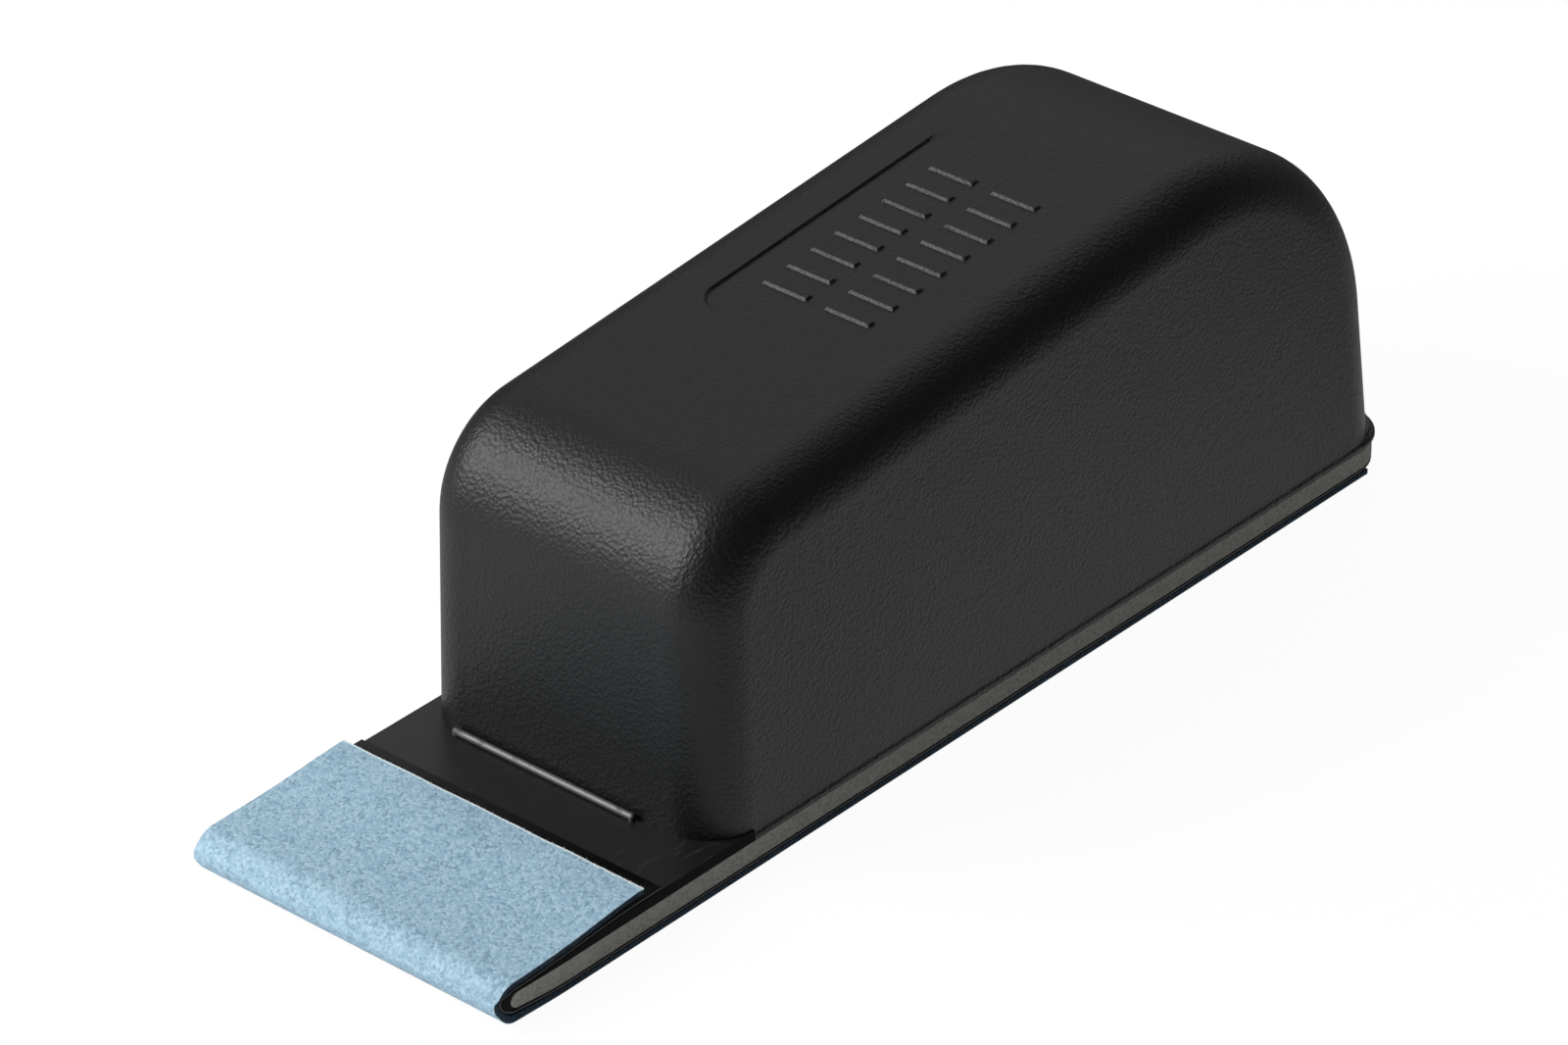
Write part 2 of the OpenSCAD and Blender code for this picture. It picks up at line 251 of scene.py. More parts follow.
class BlockSettings(bpy.types.PropertyGroup):
    """All settings of the sanding block."""

    grip: bpy.props.PointerProperty(type=GripSettings, name="Grip", description="Sizes of the grip")
    sole: bpy.props.PointerProperty(type=SoleSettings, name="Sole", description="Sizes of the sole")
    strip: bpy.props.PointerProperty(type=StripSettings, name="Strip", description="Sizes of the strip")
    colours: bpy.props.PointerProperty(type=ColourSettings, name="Colours", description="Colours")
    stage: bpy.props.PointerProperty(type=StageSettings, name="Stage", description="Camera and lamps")


# ---------------------------------------------------------------- shader nodes


class Signal:
    """A node's output in a Python expression, where each operator adds one Math node."""

    def __init__(self, finish, socket):
        self.finish = finish
        self.socket = socket

    def __add__(self, other):
        return self.finish.math("ADD", self, other)

    def __sub__(self, other):
        return self.finish.math("SUBTRACT", self, other)

    def __rsub__(self, other):
        return self.finish.math("SUBTRACT", other, self)

    def __mul__(self, other):
        return self.finish.math("MULTIPLY", self, other)

    __radd__ = __add__
    __rmul__ = __mul__


class Finish:
    """The node tree of one material, or of the world."""

    def __init__(self, name, owner=None):
        self.owner = owner or bpy.data.materials.new(name)
        self.owner.use_nodes = True
        self.tree = self.owner.node_tree
        self.tree.nodes.clear()

    def node(self, kind, settings=None, inputs=None, output=None):
        """Adds a node, sets its settings and then its sockets, and gives the named output, or the first."""
        made = self.tree.nodes.new(kind)
        for key, value in (settings or {}).items():
            setattr(made, key, value)
        for key, value in (inputs or {}).items():
            socket = made.inputs[key] if isinstance(key, int) else self.find(made.inputs, key)
            if isinstance(value, Signal):
                self.tree.links.new(value.socket, socket)
            else:
                socket.default_value = value
        if not made.outputs:
            return None
        return Signal(self, self.find(made.outputs, output) if output else made.outputs[0])

    @staticmethod
    def find(sockets, name):
        """The socket of that name that the node's settings leave in use."""
        return next(socket for socket in sockets if socket.name == name and socket.enabled)

    def math(self, operation, first, second):
        """One Math node on two values."""
        return self.node("ShaderNodeMath", {"operation": operation}, {0: first, 1: second})

    def place(self):
        """Object coordinates, in metres."""
        return self.node("ShaderNodeTexCoord", output="Object")

    def laid_flat(self):
        """Place on the strip as it was before it was wrapped: along, across and up."""
        return self.node("ShaderNodeAttribute", {"attribute_name": "laid_flat"}, output="Vector")

    def stretched(self, place, scale):
        """Coordinates scaled by one factor for each axis."""
        return self.node("ShaderNodeMapping", {}, {"Vector": place, "Scale": scale})

    def cloud(self, place, size, detail=2.0, roughness=0.5):
        """Soft noise round 0.5, with features of about that size."""
        settings = {"noise_dimensions": "3D"}
        inputs = {"Vector": place, "Scale": 1.0 / size, "Detail": detail, "Roughness": roughness}
        return self.node("ShaderNodeTexNoise", settings, inputs)

    def cells(self, place, size, output=None):
        """Distance from the middle of each cell, from 0 to about 1, with cells of about that size."""
        inputs = {"Vector": place, "Scale": 1.0 / size}
        return self.node("ShaderNodeTexVoronoi", {"feature": "F1"}, inputs, output)

    def axis(self, place, name):
        """One coordinate of a place."""
        return self.node("ShaderNodeSeparateXYZ", {}, {"Vector": place}, name)

    def grains(self, place, size):
        """A different even tone, from 0 to 1, in each grain of about that size."""
        tones = self.cells(place, size, "Color")
        return self.node("ShaderNodeSeparateColor", {}, {"Color": tones}, "Red")

    def steps(self, signal, low, high):
        """0 below low, 1 above high, and a smooth rise between."""
        inputs = {"Value": signal, "From Min": low, "From Max": high}
        return self.node("ShaderNodeMapRange", {"interpolation_type": "SMOOTHSTEP"}, inputs)

    def mix(self, factor, first, second):
        """A colour between two colours."""
        inputs = {"Factor": factor, "A": first, "B": second}
        return self.node("ShaderNodeMix", {"data_type": "RGBA"}, inputs, "Result")

    def bump(self, height, depth):
        """A normal that leans as if the surface rose by depth where height is 1."""
        return self.node("ShaderNodeBump", {}, {"Height": height, "Distance": depth, "Strength": 1.0})

    def surface(self, inputs):
        """Ends the material in one Principled shader with these sockets."""
        return self.end(self.node("ShaderNodeBsdfPrincipled", {}, inputs))

    def two_surfaces(self, factor, first, second):
        """Ends the material in two Principled shaders, mixed by a factor."""
        shaders = [self.node("ShaderNodeBsdfPrincipled", {}, inputs) for inputs in (first, second)]
        return self.end(self.node("ShaderNodeMixShader", {}, {0: factor, 1: shaders[0], 2: shaders[1]}))

    def end(self, shader):
        """Ends the material in a shader."""
        self.node("ShaderNodeOutputMaterial", {}, {"Surface": shader})
        return self.owner


def paint(colour, share=1.0):
    """A colour with its alpha, made darker or lighter by a share."""
    return (colour[0] * share, colour[1] * share, colour[2] * share, 1.0)


def strip_length():
    """Length of the strip laid flat."""
    return STRIP_TAIL - NOSE_AXIS.x + math.pi * LOOP_RADIUS + STRIP_END - NOSE_AXIS.x


# ---------------------------------------------------------------- finishes


def grip_plastic(colour):
    """Black moulded plastic with a fine spark-eroded grain and faintly handled areas."""
    finish = Finish("grip_plastic")
    place = finish.place()
    grain = finish.cells(place, 0.50 * MM)
    fine = finish.cloud(place, 0.22 * MM, 2.0)
    handled = finish.cloud(place, 17 * MM, 3.0)
    relief = grain * 0.6 + fine * 0.4
    return finish.surface({
        "Base Color": finish.mix(handled, paint(colour, 0.85), paint(colour, 1.15)),
        "Roughness": 0.40 + handled * 0.05 + grain * 0.08,
        "IOR": 1.38,
        "Normal": finish.bump(relief, 0.12 * MM),
    })


def plate_plastic(colour):
    """Smooth black plastic, with faint scuffs along the tongue and dull saw-cut rims whose colour is painted
    darker as shade.
    """
    finish = Finish("plate_plastic")
    place = finish.place()
    scuffs = finish.steps(finish.cloud(finish.stretched(place, (0.12, 1.0, 1.0)), 0.5 * MM, 3.0), 0.58, 0.72)
    cloudy = finish.cloud(place, 6 * MM, 3.0)
    grain = finish.cloud(place, 0.25 * MM, 1.0)
    across = finish.axis(place, "Y")
    rim = finish.steps(across * across, (HALF_WIDTH - 0.10 * MM) ** 2, (HALF_WIDTH - 0.03 * MM) ** 2)
    face = {
        "Base Color": finish.mix(scuffs, paint(colour), paint(colour, 2.2)),
        "Roughness": 0.30 + cloudy * 0.08 + scuffs * 0.15,
        "IOR": 1.33,
        "Normal": finish.bump(grain + scuffs * 0.6, 0.006 * MM),
    }
    # The saw-cut rim is rougher and less glossy, and its colour is painted darker as shade.
    sawn_and_shaded = {
        "Base Color": finish.mix(cloudy, paint(colour, 0.5), paint(colour, 1.0)),
        "Roughness": 0.85,
        "IOR": 1.15,
        "Normal": finish.bump(grain, 0.04 * MM),
    }
    return finish.two_surfaces(rim, face, sawn_and_shaded)


def core_foam(colour):
    """Grey closed-cell foam, cut clean, with its cells open at the cut and painted darker inside as shade."""
    finish = Finish("core_foam")
    place = finish.place()
    cells = finish.cells(place, 0.45 * MM)
    large = finish.cells(place, 1.1 * MM)
    shade = finish.cloud(place, 3 * MM, 4.0)
    # The open cells both sink the bump and darken the colour; the darkening is painted shade inside them.
    pits_and_pit_shade = finish.steps(cells, 0.15, 0.65)
    return finish.surface({
        "Base Color": finish.mix(pits_and_pit_shade * 0.55 + shade * 0.45, paint(colour, 0.72), paint(colour, 1.3)),
        "Roughness": 0.85,
        "IOR": 1.35,
        "Normal": finish.bump(pits_and_pit_shade + large * 0.5, 0.06 * MM),
    })


def hook_fabric(colour):
    """Black nylon of the hook pad, with rows of dull and bright filament."""
    finish = Finish("hook_fabric")
    place = finish.place()
    rows = finish.cloud(finish.stretched(place, (1.0, 0.08, 1.0)), 0.35 * MM, 1.0)
    spots = finish.cloud(place, 0.6 * MM, 2.0)
    return finish.surface({
        "Base Color": finish.mix(spots, paint(colour, 0.7), paint(colour, 1.4)),
        "Roughness": 0.42 + rows * 0.2,
        "IOR": 1.4,
        "Normal": finish.bump(rows + spots * 0.5, 0.03 * MM),
    })


def drawn_steel(colour):
    """Bright steel with fine lines drawn along the wire and darker spots of wear."""
    finish = Finish("drawn_steel")
    place = finish.place()
    lines = finish.cloud(finish.stretched(place, (1.0, 0.04, 1.0)), 0.06 * MM, 2.0)
    wear = finish.steps(finish.cloud(place, 1.6 * MM, 3.0), 0.5, 0.75)
    return finish.surface({
        "Base Color": finish.mix(wear, paint(colour), paint(colour, 0.55)),
        "Metallic": 1.0,
        "Roughness": 0.58 + lines * 0.12 + wear * 0.14,
        "Normal": finish.bump(lines, 0.004 * MM),
    })


def loop_velour(colour):
    """Navy velour of fine loops, brushed one way, painted darker between the loops as shade."""
    finish = Finish("loop_velour")
    flat = finish.laid_flat()
    loops = finish.cells(finish.stretched(flat, (1.0, 0.8, 1.0)), 0.42 * MM)
    nap = finish.cloud(finish.stretched(flat, (0.45, 1.0, 1.0)), 0.9 * MM, 3.0)
    brushed = finish.cloud(flat, 9 * MM, 2.0)
    # The gaps between the loops are both sunk by the bump and painted darker as shade.
    loop_gaps_and_gap_shade = finish.steps(loops, 0.1, 0.75)
    return finish.surface({
        "Base Color": finish.mix(loop_gaps_and_gap_shade * 0.6 + nap * 0.4, paint(colour, 1.7), paint(colour, 0.5)),
        "Roughness": 0.80 + brushed * 0.12,
        "IOR": 1.3,
        "Sheen Weight": 0.25,
        "Sheen Roughness": 0.5,
        "Sheen Tint": paint(colour, 9.0),
        "Normal": finish.bump(nap * 0.7 - loop_gaps_and_gap_shade, 0.14 * MM),
    })


def grit_coat(strip, colours):
    """Pale blue abrasive: bright grains and dull hollows in a resin coat, on paper that is dark where it is
    cut and pale where its loose end is frayed."""
    finish = Finish("grit_coat")
    flat = finish.laid_flat()
    grains = finish.grains(flat, 0.36 * MM)
    crumbs = finish.cells(flat, 0.36 * MM)
    blotches = finish.cloud(flat, 2.2 * MM, 3.0, 0.7)
    tone = grains * 0.55 + blotches * 0.45
    hollow = finish.steps(tone, 0.22, 0.42)
    bright = finish.steps(tone, 0.50, 0.74)
    body = finish.mix(hollow, paint(colours.grit_dark), paint(colours.grit))
    coat = finish.mix(bright, body, paint(colours.grit_light))
    out = finish.axis(flat, "Z")
    face = finish.steps(out, GRIT_RADIUS - 0.6 * strip.coat, GRIT_RADIUS - 0.2 * strip.coat)
    ragged = finish.axis(flat, "X") + finish.cloud(flat, 0.5 * MM) * 0.3 * MM
    frayed = finish.steps(ragged, strip_length() - 0.25 * MM, strip_length() - 0.05 * MM)
    fray = paint(colours.fringe, 0.75)
    cut = finish.mix(frayed, paint(colours.loops), fray)
    return finish.surface({
        "Base Color": finish.mix(face, cut, finish.mix(frayed, coat, fray)),
        "Roughness": 0.62 + crumbs * 0.2,
        "IOR": 1.4,
        "Normal": finish.bump(blotches * 0.5 - crumbs * 0.6, 0.08 * MM),
    })


def fringe_fibre(colour):
    """Pale loose fibres of the cut backing."""
    finish = Finish("fringe_fibre")
    place = finish.place()
    shade = finish.cloud(place, 1.5 * MM, 2.0)
    return finish.surface({
        "Base Color": finish.mix(shade, paint(colour, 0.8), paint(colour, 1.15)),
        "Roughness": 0.7,
        "Sheen Weight": 0.2,
        "Normal": finish.bump(finish.cloud(place, 0.1 * MM), 0.01 * MM),
    })


def floor_paper(stage, colour):
    """Pale floor that reads as white to the eye, less so in reflections, and still holds a soft shadow.
    Glossy surfaces see on it a painted pool of light, brightest towards the key softbox, and dark beyond.
    """
    finish = Finish("floor_paper")
    even_share = 0.35                              # of the pool's radius
    left_start, left_end = -70 * MM, -110 * MM     # along X, towards the key softbox
    place = finish.place()
    mottle = finish.cloud(place, 40 * MM, 3.0)
    paper = finish.node("ShaderNodeBsdfDiffuse", {}, {
        "Color": finish.mix(mottle, paint(colour, 0.99), paint(colour, 1.01))})
    white = finish.node("ShaderNodeEmission", {}, {"Color": (1.0, 1.0, 1.0, 1.0), "Strength": 1.0})
    eye, gloss = seen_by(finish)
    to_eye = finish.node("ShaderNodeMixShader", {}, {0: eye * stage.floor_white, 1: paper, 2: white})
    # The pool is painted light: an emission that only glossy rays see, even round its middle, brighter
    # towards the key softbox and dark beyond its radius.
    middle = Vector(stage.pool_place)
    offset = finish.node("ShaderNodeVectorMath", {"operation": "SUBTRACT"}, {0: place, 1: middle})
    reach = finish.node("ShaderNodeVectorMath", {"operation": "LENGTH"}, {0: offset}, "Value")
    away = finish.steps(reach, even_share * stage.pool_radius, stage.pool_radius)
    left = finish.steps(finish.axis(place, "X"), left_start, left_end)
    near = finish.mix(left, paint((stage.floor_gloss,) * 3), paint((stage.floor_left,) * 3))
    lit = finish.mix(away, near, paint((stage.floor_dark,) * 3))
    pool = finish.node("ShaderNodeEmission", {}, {"Color": lit, "Strength": 1.0})
    return finish.end(finish.node("ShaderNodeMixShader", {}, {0: gloss, 1: to_eye, 2: pool}))


def seen_by(finish):
    """Two signals: 1 for what the camera sees, also through a clear thing, and 1 for what a gloss shows."""
    outputs = finish.node("ShaderNodeLightPath", output="Is Camera Ray").socket.node.outputs
    camera, gloss, through = (
        Signal(finish, outputs[name]) for name in ("Is Camera Ray", "Is Glossy Ray", "Is Transmission Ray"))
    return finish.math("MAXIMUM", camera, through), gloss


# ---------------------------------------------------------------- meshes


def new_piece(name, bm, material):
    """Makes a smooth-shaded object of a finished bmesh, with its place in its mesh."""
    mesh = bpy.data.meshes.new(name)
    bm.to_mesh(mesh)
    bm.free()
    mesh.materials.append(material)
    mesh.shade_smooth()
    piece = bpy.data.objects.new(name, mesh)
    bpy.context.scene.collection.objects.link(piece)
    return piece


def settle(piece):
    """Applies a piece's modifiers to its mesh."""
    graph = bpy.context.evaluated_depsgraph_get()
    made = bpy.data.meshes.new_from_object(piece.evaluated_get(graph))
    piece.modifiers.clear()
    piece.data = made


def carve(piece, operation, tool_bm):
    """Cuts a closed bmesh out of a piece, or adds it, and applies the result."""
    mesh = bpy.data.meshes.new("carving_tool")
    tool_bm.to_mesh(mesh)
    tool_bm.free()
    tool = bpy.data.objects.new("carving_tool", mesh)
    bpy.context.scene.collection.objects.link(tool)
    boolean = piece.modifiers.new("Carve", "BOOLEAN")
    boolean.operation = operation
    boolean.solver = "EXACT"
    boolean.object = tool
    settle(piece)
    bpy.data.objects.remove(tool)
    bpy.data.meshes.remove(mesh)


def break_edges(piece, width, angle):
    """Rounds the edges that are sharper than the angle, and keeps flat faces flat."""
    crease = math.radians(30)
    piece.data.shade_smooth()
    piece.data.set_sharp_from_angle(angle=crease)
    bevel = piece.modifiers.new("Edge break", "BEVEL")
    bevel.width = width
    bevel.segments = 3
    bevel.limit_method = "ANGLE"
    bevel.angle_limit = angle
    weighted = piece.modifiers.new("Weighted normals", "WEIGHTED_NORMAL")
    weighted.keep_sharp = True


def thicken(piece, thickness, even=False):
    """Gives an open skin its thickness, on the inside."""
    wall = piece.modifiers.new("Wall", "SOLIDIFY")
    wall.thickness = thickness
    wall.offset = -1.0
    wall.use_even_offset = even
    settle(piece)


def verts_in(geometry):
    """The vertices among the parts that an operator gives back."""
    return [part for part in geometry if isinstance(part, bmesh.types.BMVert)]


def slice_through(bm, point, normal):
    """Cuts new edges into a mesh where a plane passes through it."""
    bmesh.ops.bisect_plane(bm, geom=bm.verts[:] + bm.edges[:] + bm.faces[:], plane_co=point, plane_no=normal)


def round_off(bm, geom, radius, segments, affect="VERTICES"):
    """Rounds edges, or the corners of a flat outline, on a radius."""
    bmesh.ops.bevel(bm, geom=geom, offset=radius, offset_type="OFFSET", segments=segments, profile=0.5,
                    affect=affect, clamp_overlap=False, material=-1)


def stamped(part_bm, places):
    """A bmesh with one copy of a small bmesh at each place."""
    part = bpy.data.meshes.new("stamp")
    part_bm.to_mesh(part)
    part_bm.free()
    bm = bmesh.new()
    for place in places:
        part.transform(place)
        bm.from_mesh(part)
        part.transform(place.inverted())
    bpy.data.meshes.remove(part)
    return bm


def trace_outline(bm, corners, radii, steps):
    """Draws edges through (x, z) corners, turning right round each inner corner on an arc of its radius."""
    points = [Vector((x, 0.0, z)) for x, z in corners]
    end = bm.verts.new(points[0])
    for before, corner, after, radius, count in zip(points, points[1:], points[2:], radii, steps):
        arrive = (corner - before).normalized()
        turn = arrive.angle(after - corner)
        start = corner - arrive * radius * math.tan(turn / 2)
        end = bmesh.ops.extrude_vert_indiv(bm, verts=[end])["verts"][0]
        end.co = start
        arc = bmesh.ops.spin(bm, geom=[end], cent=start + ACROSS.cross(arrive) * radius, axis=ACROSS,
                             angle=turn, steps=count, use_merge=False)
        end = verts_in(arc["geom_last"])[0]
    end = bmesh.ops.extrude_vert_indiv(bm, verts=[end])["verts"][0]
    end.co = points[-1]


def smooth_step(value):
    """0 below 0, 1 above 1, and a smooth rise between."""
    held = min(1.0, max(0.0, value))
    return held * held * (3.0 - 2.0 * held)


# ---------------------------------------------------------------- grip


def grip_corners(grip):
    """Corners of the grip's side profile before they are rounded, from the front foot to the rear foot."""
    front = GRIP_LOW.x
    rear = GRIP_HIGH.x - grip.heel_flare
    return [
        (front, LAP_LOW),
        (front + grip.front_lean, PLATE_TOP + grip.front_height),
        (rear - grip.rear_lean, PLATE_TOP + grip.rear_height),
        (rear, LAP_LOW),
    ]


def grip_top_place(grip):
    """Matrix that puts flat work on the sloping top, at the middle of the recessed field."""
    _, front_top, rear_top, _ = grip_corners(grip)
    run = Vector((rear_top[0] - front_top[0], rear_top[1] - front_top[1]))
    slope = math.atan2(run.y, run.x)
    x = GRIP_LOW.x + grip.field_place
    z = front_top[1] + (x - front_top[0]) * math.tan(slope)
    return Matrix.Translation((x, 0.0, z)) @ Matrix.Rotation(-slope, 4, "Y")


def grip_form(grip):
    """Outer skin of the grip, open at the bottom: a side profile run across, with its side edges rounded."""
    half = GRIP_HIGH.y - grip.side_flare
    bm = bmesh.new()
    front_steps, rear_steps = 24, 36
    radii = (grip.front_radius, grip.rear_radius)
    trace_outline(bm, grip_corners(grip), radii, (front_steps, rear_steps))
    side = bm.faces.new(bm.verts)
    bmesh.ops.translate(bm, verts=bm.verts, vec=-half * ACROSS)
    run = bmesh.ops.extrude_face_region(bm, geom=[side], use_keep_orig=True)
    bmesh.ops.translate(bm, verts=verts_in(run["geom"]), vec=2 * half * ACROSS)
    bmesh.ops.recalc_face_normals(bm, faces=bm.faces)

    def at_foot(part):
        return all(vert.co.z < LAP_LOW + SAME for vert in part.verts)

    long_edges = [edge for edge in bm.edges
                  if abs(edge.verts[0].co.y - edge.verts[1].co.y) < SAME and not at_foot(edge)]
    round_off(bm, long_edges, grip.edge_radius, segments=14, affect="EDGES")
    lip = LAP_LOW + grip.skirt_lip
    skirt_top = lip + grip.skirt_height
    skirt_steps = 8
    for step in range(skirt_steps + 1):
        level = lip + (skirt_top - lip) * step / skirt_steps
        slice_through(bm, (0.0, 0.0, level), (0.0, 0.0, 1.0))
    bmesh.ops.delete(bm, geom=[face for face in bm.faces if at_foot(face)], context="FACES_ONLY")
    middle = (GRIP_LOW.x + GRIP_HIGH.x) / 2
    for vert in bm.verts:
        rise = vert.co.z - PLATE_TOP
        outward = math.copysign(1.0, vert.co.y)
        drop = smooth_step((skirt_top - vert.co.z) / (skirt_top - lip))
        vert.co.y += outward * (grip.side_flare * drop - grip.side_draft * max(0.0, rise) / grip.rear_height)
        if vert.co.x > middle:
            vert.co.x += grip.heel_flare * drop
    return bm


def rounded_block(length, width, radius, low, high, slope=0.0, segments=10):
    """Closed block with round corners, centred in x and y. It widens by the slope from its middle height up,
    and narrows by it down."""
    bm = bmesh.new()
    plate = bmesh.ops.create_grid(bm, x_segments=1, y_segments=1, size=0.5)["verts"]
    bmesh.ops.scale(bm, verts=plate, vec=(length, width, 1.0))
    round_off(bm, plate, radius, segments)
    bottom = bm.verts[:]
    run = bmesh.ops.extrude_face_region(bm, geom=bm.faces[:], use_keep_orig=True)
    for verts, level, side in ((bottom, low, -1.0), (verts_in(run["geom"]), high, 1.0)):
        widen = ((length + 2 * side * slope) / length, (width + 2 * side * slope) / width, 1.0)
        bmesh.ops.scale(bm, verts=verts, vec=widen)
        bmesh.ops.translate(bm, verts=verts, vec=(0.0, 0.0, level))
    bmesh.ops.recalc_face_normals(bm, faces=bm.faces)
    return bm


def field_cutter(grip):
    """Block that sinks the plain field into the top, with a sloping edge that is gentler at its rear end."""
    bm = rounded_block(grip.field_length, grip.field_width, grip.field_radius,
                       -grip.field_depth, grip.field_depth, grip.field_slope)
    for vert in bm.verts:
        if vert.co.x > 0.0:
            vert.co.x += math.copysign(grip.field_run_out, vert.co.z)
    bmesh.ops.transform(bm, matrix=grip_top_place(grip), verts=bm.verts)
    return bm


def plate_bed(grip):
    """Block that takes the plate's room out of the skirt, which is left as a lap round the plate's rim."""
    front = GRIP_LOW.x - MARGIN
    rear = GRIP_HIGH.x - grip.lap
    bm = rounded_block(rear - front, 2 * (GRIP_HIGH.y - grip.lap), grip.edge_radius - grip.lap,
                       LAP_LOW - MARGIN, PLATE_TOP)
    bmesh.ops.translate(bm, verts=bm.verts, vec=((front + rear) / 2, 0.0, 0.0))
    return bm


def front_notch(grip):
    """Box that ends the lap behind the front corners, where the grip stands on top of the tongue."""
    low = Vector((GRIP_LOW.x - MARGIN, -GRIP_HIGH.y - MARGIN, LAP_LOW - MARGIN))
    high = Vector((GRIP_LOW.x + grip.edge_radius, GRIP_HIGH.y + MARGIN, PLATE_TOP))
    bm = bmesh.new()
    place = Matrix.Translation((low + high) / 2) @ Matrix.Diagonal((*(high - low), 1.0))
    bmesh.ops.create_cube(bm, size=1.0, matrix=place)
    return bm


def thumb_bars(grip):
    """Two rows of bars with sloping sides that stand in the field, level with the top round it."""
    corner = 0.3 * MM
    bar = rounded_block(grip.bar_width, grip.bar_length, corner, -2 * grip.field_depth, 0.0,
                        -grip.field_slope, segments=3)
    places = []
    for index in range(grip.bar_count):
        along = (index - (grip.bar_count - 1) / 2) * grip.bar_pitch
        for side in SIDES:
            across = side * (grip.bar_length + grip.bar_gap) / 2
            places.append(grip_top_place(grip) @ Matrix.Translation((along, across, 0.0)))
    return stamped(bar, places)


def build_grip(grip, colours):
    """The moulded grip: a wall of even thickness, a recessed field and its thumb bars."""
    piece = new_piece("grip_body", grip_form(grip), grip_plastic(colours.grip))
    thicken(piece, grip.wall, even=True)
    carve(piece, "DIFFERENCE", plate_bed(grip))
    carve(piece, "DIFFERENCE", front_notch(grip))
    carve(piece, "DIFFERENCE", field_cutter(grip))
    carve(piece, "UNION", thumb_bars(grip))
    break_edges(piece, grip.edge_break, math.radians(60))
    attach(piece, "block")
    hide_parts("grip_shell")


# ---------------------------------------------------------------- sole


def tucked(sole, point):
    """Height of a point of the tongue or the nose after the plate is thinned towards the nose."""
    from_tip = point.x - NOSE_LOW.x
    full_sink = sole.nose_tuck * (1.0 - sole.tuck_skew * (0.5 + 0.5 * point.y / HALF_WIDTH))
    sink = full_sink * smooth_step((sole.tuck_start - from_tip) / sole.tuck_length)
    rise = sole.nose_rise * smooth_step(1.0 - from_tip / sole.rise_length)
    floor_share, core_top_share = 0.4, 0.3
    shifts = ((0.0, floor_share * rise), (CORE_LOW.z, rise), (CORE_HIGH.z, core_top_share * rise),
              (PLATE_TOP, -sink))
    for (low, low_shift), (high, high_shift) in zip(shifts, shifts[1:]):
        if point.z < high:
            return point.z + low_shift + (high_shift - low_shift) * (point.z - low) / (high - low)
    return point.z - sink


def tuck_nose(sole, bm):
    """Cuts a mesh across at even steps along the tongue, and thins it towards the nose."""
    bends = 24
    for index in range(bends):
        x = NOSE_LOW.x + sole.tuck_start * (index + 0.5) / bends
        slice_through(bm, (x, 0.0, 0.0), (1.0, 0.0, 0.0))
    for vert in bm.verts:
        vert.co.z = tucked(sole, vert.co)


def finished_copy(node, name, sole, material):
    """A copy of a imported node: its triangles joined into faces, its nose tucked down, its edges broken."""
    bm = bmesh.new()
    bm.from_mesh(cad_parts[node].data)
    weld = 0.002 * MM
    flat_within = math.radians(0.5)
    bmesh.ops.remove_doubles(bm, verts=bm.verts, dist=weld)
    bmesh.ops.dissolve_limit(bm, angle_limit=flat_within, use_dissolve_boundaries=False,
                             verts=bm.verts, edges=bm.edges, delimit=set())
    tuck_nose(sole, bm)
    piece = new_piece(name, bm, material)
    break_edges(piece, sole.edge_break, math.radians(40))
    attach(piece, "block")
    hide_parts(node)
    return piece


def build_sole(sole, colours):
    """The rigid plate and the foam core, with their edges broken."""
    plate = finished_copy("sole_plate", "tongue_plate", sole, plate_plastic(colours.plate))
    core = finished_copy("core_layer", "foam_core", sole, core_foam(colours.core))


def wrap_place(along, start, radius):
    """Matrix at a distance along a layer that starts at x = start under the sole, turns round the nose
    and runs back over the tongue. Its X axis points along the layer, and its Z axis out of it."""
    sole_run = start - NOSE_AXIS.x
    half_turn = math.pi * radius
    if along < sole_run:
        spot = Vector((start - along, 0.0, NOSE_AXIS.z - radius))
        return Matrix.Translation(spot) @ Matrix.Rotation(math.pi, 4, "Y")
    if along > sole_run + half_turn:
        return Matrix.Translation((NOSE_AXIS.x + along - sole_run - half_turn, 0.0, NOSE_AXIS.z + radius))
    angle = (along - sole_run) / radius
    turned = Matrix.Rotation(math.pi + angle, 4, "Y")
    return Matrix.Translation(NOSE_AXIS) @ turned @ Matrix.Translation((0.0, 0.0, radius))


def spin_row(bm, row, steps, turn=0.0, shift=0.0):
    """Carries a row of edges on, in a straight run or round the nose, with faces behind it."""
    made = bmesh.ops.spin(bm, geom=row, cent=NOSE_AXIS, axis=ACROSS, dvec=(shift / steps, 0.0, 0.0),
                          angle=turn, steps=steps, use_merge=False)
    return made["geom_last"]


def wrapped_sheet(radius, start, end, pitch, cuts):
    """A sheet without thickness that follows the sole, the nose and the tongue at that radius."""
    bm = bmesh.new()
    ends = [bm.verts.new((start, side * HALF_WIDTH, NOSE_AXIS.z - radius)) for side in SIDES]
    bm.edges.new(ends)
    bmesh.ops.subdivide_edges(bm, edges=bm.edges[:], cuts=cuts)
    row = bm.verts[:] + bm.edges[:]
    row = spin_row(bm, row, math.ceil((start - NOSE_AXIS.x) / pitch), shift=NOSE_AXIS.x - start)
    turn_steps = 18
    row = spin_row(bm, row, turn_steps, turn=math.pi)
    spin_row(bm, row, math.ceil((end - NOSE_AXIS.x) / pitch), shift=end - NOSE_AXIS.x)
    bmesh.ops.recalc_face_normals(bm, faces=bm.faces)
    return bm


